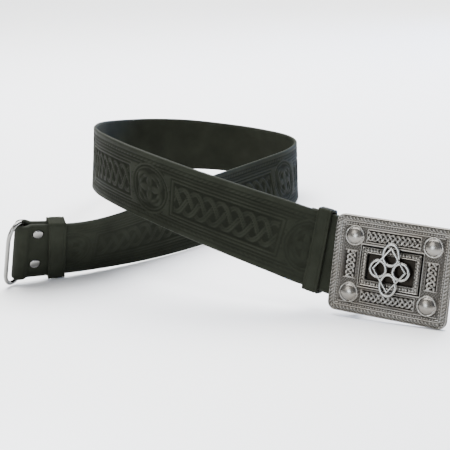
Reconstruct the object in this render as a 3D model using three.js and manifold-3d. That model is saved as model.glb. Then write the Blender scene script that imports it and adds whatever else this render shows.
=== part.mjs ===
import * as THREE from 'three';
import { mergeVertices } from 'three/addons/utils/BufferGeometryUtils.js';
import Module from 'manifold-3d';

// A kilt belt: a wide black tooled strap standing on its lower edge in one loop,
// its ends crossed in front, with a square cast buckle and a wire ring.
// Millimetres, +Z up. The origin is on the floor under the middle of the belt.

const wasm = await Module();
wasm.setup();

// Driving dimensions of the leather
const STRAP_LENGTH = 1130;
const STRAP_WIDTH = 57;
const LEATHER = 3;
const EDGE_BEVEL = 0.7;
const FIT_GAP = 0.4;
const STRAP_STEP = 13;
const TAIL_FLAP_END = 37;
const BUCKLE_FLAP = 48;
const BAR_BLEND = 14;

// Driving dimensions of the keepers
const TAIL_KEEPER = { at: 27, length: 14, tilt: 5 };
const BUCKLE_KEEPER = { at: 1106, length: 11, tilt: -3 };
const KEEPER_WALL = 2;
const KEEPER_CORNER = 2.6;
const KEEPER_GAP = 0.65;
const BUCKLE_TILT = 9;
const TILT_START = 1085;
const TILT_END = 1128;

// Driving dimensions of the ring and rivets
const RING_WIRE = 3.4;
const RING_CLEARANCE = 2.5;
const RING_LENGTH = STRAP_WIDTH + 2 * RING_CLEARANCE;
const RING_DEPTH = 15;
const RING_ELBOW = 4;
const RING_SHOULDER = 9;
const RING_SWING = -35;
const RIVET_AT = 17.5;
const RIVET_HEIGHTS = { lower: 0.28, upper: 0.84 };
const RIVET_CAP = { radius: 4.5, height: 1.7 };
const RIVET_SHANK_RADIUS = 1.5;
const RIVET_HOLE_RADIUS = 1.9;
const RIVET_BACK = { radius: 3.8, height: 0.9 };

// Driving dimensions of the buckle
const PLATE = { width: 89.5, height: 70, thickness: 2.4, corner: 6 };
const BAR_DIAMETER = 4;
const BAR_FROM_EDGE = 19.5;
const PLATE_OVERLAP = 5.2;
const LUG = { width: 5, thickness: 2.8, clearance: 1.1 };
const HOOK = { from_bar: 50, width: 12, gap: 9.4, reach: 8, thickness: 2.2 };
const RIM = { outer: 0.2, inner: 1.8, height: 1.1 };
const ROPE = { inset: 3.5, pitch: 2.9, long: 1.95, wide: 1.0, height: 1.1, slant: 40 };
const INNER_LINE = { outer: 5.4, inner: 6.4, height: 0.7 };
const FRAME = { width: 45, height: 28.4, bar: 5, rise: 1.3 };
const RECESS_DEPTH = 1.3;
const STUD = { radius: 6.2, height: 3.2, across: 58.8, up: 41 };
const PLAIT = { amplitude: 2.5, width: 1.5, height: 0.9, wave: 9.6 };
const BADGE = { across: 15.5, up: 19.5, lobe: 7, band: 2.4, thickness: 1.6 };

// The strap's course: heading and lean in degrees, rise of the lower edge as a share
// of the strap's width, at shares of its length from the ring end to the buckle end
const COURSE_START = { x: -175.6, y: -152.8 };
const COURSE = [
  { share: 0.00, heading: 21.0, lean: -27.0, rise: 0.075 },
  { share: 0.05, heading: 23.8, lean: -31.2, rise: 0.022 },
  { share: 0.10, heading: 32.6, lean: -19.0, rise: 0.000 },
  { share: 0.15, heading: 42.9, lean: -0.9, rise: 0.000 },
  { share: 0.20, heading: 50.4, lean: 12.8, rise: 0.000 },
  { share: 0.25, heading: 56.8, lean: 12.5, rise: 0.000 },
  { share: 0.30, heading: 72.2, lean: 2.7, rise: 0.000 },
  { share: 0.35, heading: 99.2, lean: -0.4, rise: 0.000 },
  { share: 0.40, heading: 133.2, lean: 8.2, rise: 0.050 },
  { share: 0.45, heading: 170.0, lean: 14.7, rise: 0.160 },
  { share: 0.50, heading: 205.5, lean: 10.0, rise: 0.267 },
  { share: 0.55, heading: 235.8, lean: 2.9, rise: 0.379 },
  { share: 0.60, heading: 257.3, lean: 3.0, rise: 0.516 },
  { share: 0.65, heading: 269.6, lean: 6.9, rise: 0.663 },
  { share: 0.70, heading: 275.5, lean: 7.5, rise: 0.802 },
  { share: 0.75, heading: 283.4, lean: 3.9, rise: 0.910 },
  { share: 0.80, heading: 296.7, lean: -0.2, rise: 0.960 },
  { share: 0.85, heading: 312.2, lean: -2.5, rise: 0.885 },
  { share: 0.90, heading: 325.8, lean: -1.7, rise: 0.690 },
  { share: 0.95, heading: 331.5, lean: 4.5, rise: 0.430 },
  { share: 0.97, heading: 329.0, lean: 9.0, rise: 0.320 },
  { share: 0.985, heading: 327.0, lean: 12.5, rise: 0.260 },
];

const HALF_LEATHER = LEATHER / 2;
const LAYER_STEP = LEATHER + FIT_GAP;
const BAR_RADIUS = BAR_DIAMETER / 2;
const BAR_WRAP = BAR_RADIUS + 1.2 * FIT_GAP + HALF_LEATHER;
const BAR_AT = STRAP_LENGTH - PLATE_OVERLAP + BAR_FROM_EDGE;
const RING_RADIUS = RING_WIRE / 2;
const RING_WRAP = RING_RADIUS + 2 * FIT_GAP + HALF_LEATHER;
const RING_AT = HALF_LEATHER + RING_WRAP;
const RING_OFFSET = 1.7;

const BLACK_LEATHER = { color: 0x26261f, roughness: 0.55, metalness: 0 };
const CAST_METAL = { color: 0xc4bfb8, roughness: 0.3, metalness: 1 };
const BRIGHT_METAL = { color: 0xd2d0ca, roughness: 0.22, metalness: 1 };

// Smooth reading of one column of the course at a share of the length
function courseValue(column, share) {
  const rows = COURSE;
  const last = rows.length - 2;
  let i = 0;
  while (i < last && share > rows[i + 1].share) i += 1;
  const slope = (k) => {
    const a = rows[Math.max(k - 1, 0)];
    const b = rows[Math.min(k + 1, rows.length - 1)];
    return (b[column] - a[column]) / (b.share - a.share);
  };
  const width = rows[i + 1].share - rows[i].share;
  const t = (share - rows[i].share) / width;
  const t2 = t * t;
  const t3 = t2 * t;
  return (2 * t3 - 3 * t2 + 1) * rows[i][column] + (t3 - 2 * t2 + t) * width * slope(i)
    + (3 * t2 - 2 * t3) * rows[i + 1][column] + (t3 - t2) * width * slope(i + 1);
}

// Lower edge of the strap, walked in short steps from the ring end to the last row
const WALK_STEP = 1;
const WALK = [];
function walkCourse() {
  const walkLength = STRAP_LENGTH * COURSE[COURSE.length - 1].share;
  let x = COURSE_START.x;
  let y = COURSE_START.y;
  for (let along = 0; along <= walkLength; along += WALK_STEP) {
    const share = along / STRAP_LENGTH;
    const heading = THREE.MathUtils.degToRad(courseValue('heading', share));
    const lean = THREE.MathUtils.degToRad(courseValue('lean', share));
    const rise = courseValue('rise', share) * STRAP_WIDTH;
    const ahead = courseValue('rise', share + WALK_STEP / STRAP_LENGTH) * STRAP_WIDTH;
    const climb = Math.asin((ahead - rise) / WALK_STEP);
    const z = rise + HALF_LEATHER * Math.abs(Math.sin(lean));
    WALK.push({ x, y, z, heading, lean, climb });
    x += Math.cos(heading) * Math.cos(climb) * WALK_STEP;
    y += Math.sin(heading) * Math.cos(climb) * WALK_STEP;
  }
}
walkCourse();

// Frame of the strap at a distance along it: origin on the lower edge, with the
// directions along the strap, up its width, and across towards the loop's inside.
// Before the first row and past the last one the strap runs on straight
function frameAt(along) {
  const place = THREE.MathUtils.clamp(along / WALK_STEP, 0, WALK.length - 1.001);
  const i = Math.floor(place);
  const mix = (key) => THREE.MathUtils.lerp(WALK[i][key], WALK[i + 1][key], place - i);
  const heading = mix('heading');
  const lean = mix('lean');
  const climb = mix('climb');
  const level = new THREE.Vector3(Math.cos(heading), Math.sin(heading), 0);
  const side = new THREE.Vector3(-Math.sin(heading), Math.cos(heading), 0);
  const forward = level.clone().multiplyScalar(Math.cos(climb));
  forward.z = Math.sin(climb);
  const plumb = level.clone().multiplyScalar(-Math.sin(climb));
  plumb.z = Math.cos(climb);
  const up = plumb.clone().multiplyScalar(Math.cos(lean)).addScaledVector(side, Math.sin(lean));
  const across = side.clone().multiplyScalar(Math.cos(lean)).addScaledVector(plumb, -Math.sin(lean));
  const origin = new THREE.Vector3(mix('x'), mix('y'), mix('z'));
  origin.addScaledVector(forward, along - place * WALK_STEP);
  return { origin, forward, up, across };
}

// Near the buckle the leather is skewed towards the tilt of the buckle's bar
function strapPoint(along, offset, height) {
  const tilt = THREE.MathUtils.smoothstep(along, TILT_START, TILT_END) * BUCKLE_TILT;
  const skewed = along - Math.tan(THREE.MathUtils.degToRad(tilt)) * (height - STRAP_WIDTH / 2);
  const frame = frameAt(skewed);
  return frame.origin.clone().addScaledVector(frame.across, offset).addScaledVector(frame.up, height);
}

// Outward facing closed geometry from points and triangles
function meshFrom(points, triangles) {
  const geometry = new THREE.BufferGeometry();
  geometry.setAttribute('position', new THREE.Float32BufferAttribute(points.flatMap((p) => [p.x, p.y, p.z]), 3));
  geometry.setIndex(triangles);
  return geometry;
}

function solidFrom(geometry) {
  const bare = geometry.clone();
  bare.deleteAttribute('normal');
  bare.deleteAttribute('uv');
  const merged = mergeVertices(bare, 1e-4);
  return new wasm.Manifold(new wasm.Mesh({
    numProp: 3,
    vertProperties: new Float32Array(merged.attributes.position.array),
    triVerts: new Uint32Array(merged.index.array),
  }));
}

function geometryFrom(solid) {
  const mesh = solid.getMesh();
  const geometry = new THREE.BufferGeometry();
  geometry.setAttribute('position', new THREE.BufferAttribute(new Float32Array(mesh.vertProperties), 3));
  geometry.setIndex(new THREE.BufferAttribute(new Uint32Array(mesh.triVerts), 1));
  geometry.computeVertexNormals();
  return geometry;
}

function joined(solids) {
  return solids.reduce((whole, solid) => whole.add(solid));
}

function namedMesh(name, geometry, look) {
  if (!geometry.attributes.normal) geometry.computeVertexNormals();
  const mesh = new THREE.Mesh(geometry, new THREE.MeshStandardMaterial(look));
  mesh.name = name;
  return mesh;
}

// Closed skin through equal rings of points that each run along one face of a strip and
// back along the other, so that point i faces point count - 1 - i
function stripThrough(rings) {
  const count = rings[0].length;
  const triangles = [];
  for (let r = 0; r + 1 < rings.length; r += 1) {
    for (let i = 0; i < count; i += 1) {
      const a = r * count + i;
      const b = r * count + ((i + 1) % count);
      if (i < count / 2) triangles.push(a, b, b + count, a, b + count, a + count);
      else triangles.push(a, b, a + count, b, b + count, a + count);
    }
  }
  const top = (rings.length - 1) * count;
  for (let i = 0; i + 1 < count / 2; i += 1) {
    const facing = count - 1 - i;
    triangles.push(i, facing, i + 1, i + 1, facing, facing - 1);
    triangles.push(top + i, top + i + 1, top + facing, top + i + 1, top + facing - 1, top + facing);
  }
  return meshFrom(rings.flat(), triangles);
}

// Middle line of the leather, from the end of the ring flap round the ring, along the
// strap, round the buckle bar and back to the end of the buckle flap
function strapMiddleLine() {
  const line = [];
  const add = (along, offset) => line.push(new THREE.Vector2(along, offset));
  const ease = (t) => t * t * (3 - 2 * t);
  const arc = (centreAlong, centreOffset, radius, from, to, steps) => {
    for (let i = 0; i <= steps; i += 1) {
      const angle = THREE.MathUtils.degToRad(THREE.MathUtils.lerp(from, to, i / steps));
      add(centreAlong + radius * Math.cos(angle), centreOffset + radius * Math.sin(angle));
    }
  };
  const tunnelEnd = RING_AT + 2;
  const clampStart = RIVET_AT - RIVET_CAP.radius - 0.5;
  const blend = (fromAlong, toAlong, fromOffset, toOffset) => {
    for (let i = 1; i <= 3; i += 1) {
      const t = i / 4;
      add(THREE.MathUtils.lerp(fromAlong, toAlong, t), THREE.MathUtils.lerp(fromOffset, toOffset, ease(t)));
    }
  };
  add(TAIL_FLAP_END, LAYER_STEP);
  for (let i = 1; i < 3; i += 1) add(THREE.MathUtils.lerp(TAIL_FLAP_END, clampStart, i / 3), LAYER_STEP);
  add(clampStart, LAYER_STEP);
  blend(clampStart, tunnelEnd, LAYER_STEP, RING_OFFSET + RING_WRAP);
  add(tunnelEnd, RING_OFFSET + RING_WRAP);
  arc(RING_AT, RING_OFFSET, RING_WRAP, 90, 270, 8);
  add(tunnelEnd, RING_OFFSET - RING_WRAP);
  blend(tunnelEnd, clampStart, RING_OFFSET - RING_WRAP, 0);
  const barBlend = BAR_AT - BAR_BLEND;
  const steps = Math.round((barBlend - clampStart) / STRAP_STEP);
  for (let i = 0; i <= steps; i += 1) add(THREE.MathUtils.lerp(clampStart, barBlend, i / steps), 0);
  add(BAR_AT - BAR_BLEND / 2, 0);
  arc(BAR_AT, BAR_WRAP, BAR_WRAP, -90, 90, 8);
  blend(BAR_AT, barBlend, 2 * BAR_WRAP, LAYER_STEP);
  add(barBlend, LAYER_STEP);
  add(BAR_AT - BUCKLE_FLAP * 0.65, LAYER_STEP);
  add(BAR_AT - BUCKLE_FLAP, LAYER_STEP);
  return line;
}

// Both faces of the leather as one closed outline at a distance from the middle line
function strapOutline(line, half) {
  const left = [];
  const right = [];
  line.forEach((point, i) => {
    const before = line[Math.max(i - 1, 0)];
    const after = line[Math.min(i + 1, line.length - 1)];
    const normal = new THREE.Vector2(before.y - after.y, after.x - before.x).normalize();
    left.push(point.clone().addScaledVector(normal, half));
    right.push(point.clone().addScaledVector(normal, -half));
  });
  return right.concat(left.reverse());
}

function makeStrap() {
  const line = strapMiddleLine();
  const full = strapOutline(line, HALF_LEATHER);
  const slim = strapOutline(line, HALF_LEATHER - EDGE_BEVEL);
  const ringAt = (outline, height) => outline.map((p) => strapPoint(p.x, p.y, height));
  const rings = [
    ringAt(slim, 0),
    ringAt(full, EDGE_BEVEL),
    ringAt(full, STRAP_WIDTH / 3),
    ringAt(full, (2 * STRAP_WIDTH) / 3),
    ringAt(full, STRAP_WIDTH - EDGE_BEVEL),
    ringAt(slim, STRAP_WIDTH),
  ];
  let strap = solidFrom(stripThrough(rings));
  for (const height of Object.values(RIVET_HEIGHTS)) {
    const hole = new THREE.CylinderGeometry(RIVET_HOLE_RADIUS, RIVET_HOLE_RADIUS, 6 * LEATHER, 14);
    hole.rotateX(Math.PI / 2);
    hole.applyMatrix4(strapMatrix(RIVET_AT, 0, height * STRAP_WIDTH));
    strap = strap.subtract(solidFrom(hole));
  }
  return namedMesh('strap', geometryFrom(strap), BLACK_LEATHER);
}

// Placement at a spot on the strap: x along it, y up its width, z out of its outer face
function strapMatrix(along, offset, height) {
  const reach = 2;
  const ahead = strapPoint(along + reach, offset, height);
  const forward = ahead.sub(strapPoint(along - reach, offset, height)).normalize();
  const outward = forward.clone().cross(frameAt(along).up).normalize();
  const matrix = new THREE.Matrix4().makeBasis(forward, outward.clone().cross(forward), outward);
  return matrix.setPosition(strapPoint(along, offset, height));
}

function placed(mesh, matrix) {
  mesh.applyMatrix4(matrix);
  return mesh;
}

// Leather loop round both layers of the strap
function makeKeeper(name, { at, length, tilt }) {
  const slope = Math.tan(THREE.MathUtils.degToRad(tilt));
  const inner = {
    low: -HALF_LEATHER - KEEPER_GAP,
    high: LAYER_STEP + HALF_LEATHER + KEEPER_GAP,
    bottom: -KEEPER_GAP,
    top: STRAP_WIDTH + KEEPER_GAP,
  };
  const loop = (grow, corner) => {
    const shape = [];
    const corners = [
      [inner.high + grow - corner, inner.bottom - grow + corner, -90],
      [inner.high + grow - corner, inner.top + grow - corner, 0],
      [inner.low - grow + corner, inner.top + grow - corner, 90],
      [inner.low - grow + corner, inner.bottom - grow + corner, 180],
    ];
    corners.forEach(([offset, height, from], k) => {
      for (let i = 0; i <= 3; i += 1) {
        const angle = THREE.MathUtils.degToRad(from + i * 30);
        shape.push([offset + corner * Math.cos(angle), height + corner * Math.sin(angle)]);
      }
      if (k === 0) shape.push([inner.high + grow, STRAP_WIDTH / 3], [inner.high + grow, (2 * STRAP_WIDTH) / 3]);
      if (k === 2) shape.push([inner.low - grow, (2 * STRAP_WIDTH) / 3], [inner.low - grow, STRAP_WIDTH / 3]);
    });
    return shape;
  };
  const outerLoop = loop(KEEPER_WALL, KEEPER_CORNER);
  const innerLoop = loop(0, 0.6);
  const stations = 3;
  const points = [];
  for (let s = 0; s < stations; s += 1) {
    for (const [offset, height] of [...outerLoop, ...innerLoop]) {
      const along = at + (length * s) / (stations - 1) - slope * (height - STRAP_WIDTH / 2);
      points.push(strapPoint(along, offset, height));
    }
  }
  const count = outerLoop.length;
  const row = 2 * count;
  const triangles = [];
  for (let i = 0; i < count; i += 1) {
    const j = (i + 1) % count;
    for (let s = 0; s + 1 < stations; s += 1) {
      const a = s * row;
      const b = a + row;
      triangles.push(a + i, b + j, a + j, a + i, b + i, b + j);
      triangles.push(a + count + i, a + count + j, b + count + j, a + count + i, b + count + j, b + count + i);
    }
    const end = (stations - 1) * row;
    triangles.push(i, j, count + j, i, count + j, count + i);
    triangles.push(end + i, end + count + j, end + j, end + i, end + count + i, end + count + j);
  }
  return namedMesh(name, outwards(meshFrom(points, triangles)), BLACK_LEATHER);
}

// The same geometry with its faces pointing out
function outwards(geometry) {
  const position = geometry.attributes.position;
  const index = geometry.index;
  let volume = 0;
  const corner = (k) => new THREE.Vector3().fromBufferAttribute(position, index.getX(k));
  for (let k = 0; k < index.count; k += 3) volume += corner(k).dot(corner(k + 1).cross(corner(k + 2)));
  if (volume < 0) {
    for (let k = 0; k < index.count; k += 3) {
      const swap = index.getX(k + 1);
      index.setX(k + 1, index.getX(k + 2));
      index.setX(k + 2, swap);
    }
  }
  return geometry;
}

// Domed cap, shank and flat back of one rivet, turned about its own axis
function makeRivet(name, height) {
  const face = HALF_LEATHER + FIT_GAP;
  const back = -(LAYER_STEP + HALF_LEATHER + FIT_GAP);
  const profile = [
    new THREE.Vector2(0, back - RIVET_BACK.height),
    new THREE.Vector2(RIVET_BACK.radius, back - RIVET_BACK.height),
    new THREE.Vector2(RIVET_BACK.radius, back),
    new THREE.Vector2(RIVET_SHANK_RADIUS, back),
    new THREE.Vector2(RIVET_SHANK_RADIUS, face),
    new THREE.Vector2(RIVET_CAP.radius, face),
  ];
  const rimHeight = 0.3;
  const domeSteps = 4;
  for (let i = 0; i < domeSteps; i += 1) {
    const angle = (Math.PI / 2) * (i / domeSteps);
    profile.push(new THREE.Vector2(
      RIVET_CAP.radius * Math.cos(angle),
      face + rimHeight + (RIVET_CAP.height - rimHeight) * Math.sin(angle),
    ));
  }
  profile.push(new THREE.Vector2(0, face + RIVET_CAP.height));
  const geometry = new THREE.LatheGeometry(profile, 16);
  geometry.rotateX(Math.PI / 2);
  const solid = geometryFrom(solidFrom(geometry));
  return placed(namedMesh(name, solid, BRIGHT_METAL), strapMatrix(RIVET_AT, 0, height * STRAP_WIDTH));
}

// Wire ring: a straight bar inside the leather fold, elbows and a shallow bow outside
function makeRing() {
  const outline = new THREE.Shape();
  const half = RING_LENGTH / 2;
  outline.moveTo(0, -half + RING_ELBOW);
  outline.absarc(RING_ELBOW, -half + RING_ELBOW, RING_ELBOW, Math.PI, 1.5 * Math.PI, false);
  outline.absellipse(RING_DEPTH - RING_SHOULDER, -half + 1.6 * RING_SHOULDER, RING_SHOULDER,
    1.6 * RING_SHOULDER, 1.5 * Math.PI, 2 * Math.PI, false);
  outline.absellipse(RING_DEPTH - RING_SHOULDER, half - 1.6 * RING_SHOULDER, RING_SHOULDER,
    1.6 * RING_SHOULDER, 0, 0.5 * Math.PI, false);
  outline.absarc(RING_ELBOW, half - RING_ELBOW, RING_ELBOW, 0.5 * Math.PI, Math.PI, false);
  outline.closePath();
  const route = outline.getPoints(5).filter((p, i, all) => i === 0 || p.distanceTo(all[i - 1]) > 0.3);
  if (route[0].distanceTo(route[route.length - 1]) < 0.3) route.pop();
  const sides = 8;
  const points = [];
  const triangles = [];
  route.forEach((point, i) => {
    const before = route[(i + route.length - 1) % route.length];
    const after = route[(i + 1) % route.length];
    const normal = new THREE.Vector2(after.y - before.y, before.x - after.x).normalize();
    for (let k = 0; k < sides; k += 1) {
      const angle = (2 * Math.PI * (k + 0.5)) / sides;
      const out = RING_RADIUS * Math.cos(angle);
      points.push(new THREE.Vector3(point.x + normal.x * out, point.y + normal.y * out, RING_RADIUS * Math.sin(angle)));
      const next = (i + 1) % route.length;
      const a = i * sides + k;
      const b = i * sides + ((k + 1) % sides);
      const c = next * sides + ((k + 1) % sides);
      const d = next * sides + k;
      triangles.push(a, c, b, a, d, c);
    }
  });
  const ring = namedMesh('ring', outwards(meshFrom(points, triangles)), BRIGHT_METAL);
  const frame = frameAt(RING_AT);
  const swing = THREE.MathUtils.degToRad(RING_SWING);
  const outward = frame.forward.clone().multiplyScalar(-Math.cos(swing)).addScaledVector(frame.across, Math.sin(swing));
  const matrix = new THREE.Matrix4().makeBasis(outward, frame.up, outward.clone().cross(frame.up));
  matrix.setPosition(strapPoint(RING_AT, RING_OFFSET, STRAP_WIDTH / 2));
  return placed(ring, matrix);
}

function roundedRectangle(width, height, corner) {
  const shape = new THREE.Shape();
  const x = width / 2;
  const y = height / 2;
  shape.moveTo(-x + corner, -y);
  shape.lineTo(x - corner, -y);
  shape.absarc(x - corner, -y + corner, corner, -Math.PI / 2, 0, false);
  shape.lineTo(x, y - corner);
  shape.absarc(x - corner, y - corner, corner, 0, Math.PI / 2, false);
  shape.lineTo(-x + corner, y);
  shape.absarc(-x + corner, y - corner, corner, Math.PI / 2, Math.PI, false);
  shape.lineTo(-x, -y + corner);
  shape.absarc(-x + corner, -y + corner, corner, Math.PI, 1.5 * Math.PI, false);
  return shape;
}

// Flat slab of an outline between two heights
function slab(shape, low, high, curveSegments = 4) {
  const geometry = new THREE.ExtrudeGeometry(shape, { depth: high - low, bevelEnabled: false, curveSegments });
  geometry.translate(0, 0, low);
  return solidFrom(geometry);
}

// Raised band that follows the plate's edge between two insets
function edgeBand({ outer, inner, height }) {
  const outside = (inset) => roundedRectangle(
    PLATE.width - 2 * inset,
    PLATE.height - 2 * inset,
    Math.max(PLATE.corner - inset, 0.8),
  );
  return slab(outside(outer), -0.4, height).subtract(slab(outside(inner), -1, height + 1));
}

// Slanted lozenges of the cast rope border
function ropeBorder() {
  const course = roundedRectangle(
    PLATE.width - 2 * ROPE.inset,
    PLATE.height - 2 * ROPE.inset,
    PLATE.corner - ROPE.inset,
  );
  const count = Math.round(course.getLength() / ROPE.pitch);
  const lozenges = [];
  for (let i = 0; i < count; i += 1) {
    const point = course.getPointAt(i / count);
    const tangent = course.getTangentAt(i / count);
    const geometry = new THREE.SphereGeometry(1, 6, 3);
    geometry.scale(ROPE.long, ROPE.wide, ROPE.height);
    geometry.rotateZ(Math.atan2(tangent.y, tangent.x) + THREE.MathUtils.degToRad(ROPE.slant));
    geometry.translate(point.x, point.y, 0);
    lozenges.push(solidFrom(geometry));
  }
  return joined(lozenges);
}

// Two crossing waves of strand between two ends of a panel
function plait(length, turn, x, y) {
  const strands = [];
  for (const phase of [0, Math.PI]) {
    const steps = Math.round((length / PLAIT.wave) * 6);
    const left = [];
    const right = [];
    for (let i = 0; i <= steps; i += 1) {
      const along = (i / steps - 0.5) * length;
      const angle = (2 * Math.PI * along) / PLAIT.wave + phase;
      const rise = PLAIT.amplitude * Math.sin(angle);
      const slope = (PLAIT.amplitude * 2 * Math.PI * Math.cos(angle)) / PLAIT.wave;
      const normal = new THREE.Vector2(-slope, 1).normalize().multiplyScalar(PLAIT.width / 2);
      left.push(new THREE.Vector2(along + normal.x, rise + normal.y));
      right.push(new THREE.Vector2(along - normal.x, rise - normal.y));
    }
    const shape = new THREE.Shape(right.concat(left.reverse()));
    strands.push(slab(shape, -0.4, PLAIT.height));
  }
  const whole = joined(strands);
  return whole.rotate([0, 0, turn]).translate([x, y, 0]);
}

// Polished dome in a thin collar
function stud(x, y) {
  const profile = [new THREE.Vector2(0, -0.4), new THREE.Vector2(STUD.radius, -0.4)];
  const steps = 5;
  for (let i = 0; i < steps; i += 1) {
    const angle = (Math.PI / 2) * (i / steps);
    profile.push(new THREE.Vector2(STUD.radius * Math.cos(angle), 0.6 + (STUD.height - 0.6) * Math.sin(angle)));
  }
  profile.push(new THREE.Vector2(0, STUD.height));
  const geometry = new THREE.LatheGeometry(profile, 18);
  geometry.rotateX(Math.PI / 2);
  geometry.translate(x, y, 0);
  return solidFrom(geometry);
}

// Plain box joined to the back of the plate
function block(width, height, depth, x, y, z) {
  const geometry = new THREE.BoxGeometry(width, height, depth);
  geometry.translate(x, y, z);
  return solidFrom(geometry);
}

// Cast buckle with its bar, lugs and hook. Local frame: x across the plate from its
// middle, y up, z out of its front face, which is at zero
const BAR_X = -PLATE.width / 2 + BAR_FROM_EDGE;
const BAR_Z = -PLATE.thickness - 1.5 * FIT_GAP - BAR_WRAP - HALF_LEATHER;
function makeBuckle() {
  const plate = slab(roundedRectangle(PLATE.width, PLATE.height, PLATE.corner), -PLATE.thickness, 0, 6);
  const frame = slab(roundedRectangle(FRAME.width, FRAME.height, 1), -0.4, FRAME.rise, 2);
  const recess = slab(
    roundedRectangle(FRAME.width - 2 * FRAME.bar, FRAME.height - 2 * FRAME.bar, 0.8),
    -RECESS_DEPTH,
    FRAME.rise + 1,
    2,
  );
  const studs = [];
  for (const x of [-STUD.across / 2, STUD.across / 2]) {
    for (const y of [-STUD.up / 2, STUD.up / 2]) studs.push(stud(x, y));
  }
  const panelX = (FRAME.width / 2 + PLATE.width / 2 - INNER_LINE.inner) / 2;
  const panelY = (FRAME.height / 2 + PLATE.height / 2 - INNER_LINE.inner) / 2;
  const plaits = [
    plait(PLAIT.wave * 2, 90, -panelX, 0),
    plait(PLAIT.wave * 2, 90, panelX, 0),
    plait(PLAIT.wave * 4, 0, 0, -panelY),
    plait(PLAIT.wave * 4, 0, 0, panelY),
  ];
  const lugY = STRAP_WIDTH / 2 + LUG.clearance + LUG.thickness / 2;
  const lugDepth = -PLATE.thickness - BAR_Z + BAR_RADIUS;
  const lugZ = BAR_Z - BAR_RADIUS + lugDepth / 2;
  const lugs = [-lugY, lugY].map((y) => block(LUG.width, LUG.thickness, lugDepth + 0.4, BAR_X, y, lugZ + 0.2));
  const bar = new THREE.CylinderGeometry(BAR_RADIUS, BAR_RADIUS, 2 * lugY, 12);
  bar.translate(BAR_X, 0, BAR_Z);
  const hookX = BAR_X + HOOK.from_bar;
  const postDepth = HOOK.gap + HOOK.thickness;
  const post = block(HOOK.thickness, HOOK.width, postDepth + 0.4, hookX, 0, -PLATE.thickness - postDepth / 2 + 0.2);
  const lipZ = -PLATE.thickness - HOOK.gap - HOOK.thickness / 2;
  const lip = block(HOOK.reach, HOOK.width, HOOK.thickness, hookX - HOOK.reach / 2, 0, lipZ);
  const relief = [edgeBand(RIM), edgeBand(INNER_LINE), ropeBorder(), frame, ...plaits, ...studs];
  const cast = joined([plate, ...relief]).subtract(recess);
  const whole = joined([cast, ...lugs, solidFrom(bar), post, lip]);
  return namedMesh('buckle', geometryFrom(whole), CAST_METAL);
}

// Outline of an open oval band
function ovalBand(x, y, across, up, band) {
  const shape = new THREE.Shape();
  shape.absellipse(x, y, across, up, 0, 2 * Math.PI, false);
  const inside = new THREE.Path();
  inside.absellipse(x, y, across - band, up - band, 0, 2 * Math.PI, true);
  shape.holes.push(inside);
  return shape;
}

// Outline of an open diamond band
function diamondBand(across, up, band) {
  const corners = (x, y) => [[x, 0], [0, y], [-x, 0], [0, -y]].map(([a, b]) => new THREE.Vector2(a, b));
  const shape = new THREE.Shape(corners(across, up));
  shape.holes.push(new THREE.Path(corners(across - 1.6 * band, up - 1.9 * band).reverse()));
  return shape;
}

// Raised badge: a four-lobed knot laced through a diamond
function makeBadge() {
  const { across, up, band, lobe, thickness } = BADGE;
  const sideLobe = across - lobe;
  const endLobe = up - 1.25 * lobe;
  const pieces = [
    slab(ovalBand(sideLobe, 0, lobe, lobe, band), 0, thickness, 10),
    slab(ovalBand(-sideLobe, 0, lobe, lobe, band), 0, thickness, 10),
    slab(ovalBand(0, endLobe, lobe, 1.25 * lobe, band), 0, thickness, 10),
    slab(ovalBand(0, -endLobe, lobe, 1.25 * lobe, band), 0, thickness, 10),
    slab(diamondBand(across * 0.86, up * 0.86, band), 0, thickness * 1.3),
  ];
  return namedMesh('buckle_badge', geometryFrom(joined(pieces)), BRIGHT_METAL);
}

// The buckle and its badge hang on the bar in the strap's end
function makeBuckleGroup() {
  const group = new THREE.Group();
  const badge = makeBadge();
  badge.position.z = FRAME.rise + 0.3;
  group.add(makeBuckle(), badge);
  const bar = strapMatrix(BAR_AT, BAR_WRAP, STRAP_WIDTH / 2);
  const tilt = new THREE.Matrix4().makeRotationZ(THREE.MathUtils.degToRad(BUCKLE_TILT));
  const fromBar = new THREE.Matrix4().makeTranslation(-BAR_X, 0, -BAR_Z);
  group.applyMatrix4(bar.multiply(tilt).multiply(fromBar));
  return group;
}

// Moves the belt so that the origin is on the floor under the middle of its outline
function centred(group) {
  group.updateMatrixWorld(true);
  const box = new THREE.Box3().setFromObject(group, true);
  const base = new THREE.Vector3((box.min.x + box.max.x) / 2, (box.min.y + box.max.y) / 2, box.min.z);
  for (const child of group.children) child.position.sub(base);
  return group;
}

const belt = new THREE.Group();
belt.add(
  makeStrap(),
  makeKeeper('tail_keeper', TAIL_KEEPER),
  makeKeeper('buckle_keeper', BUCKLE_KEEPER),
  makeRivet('upper_rivet', RIVET_HEIGHTS.upper),
  makeRivet('lower_rivet', RIVET_HEIGHTS.lower),
  makeRing(),
  makeBuckleGroup(),
);

export default centred(belt);
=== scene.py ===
"""Kilt belt lying in a crossed loop: tooled strap, keepers, rivets, wire ring and cast buckle."""

import math

import bpy
import numpy as np
from mathutils import Matrix, Vector


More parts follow.
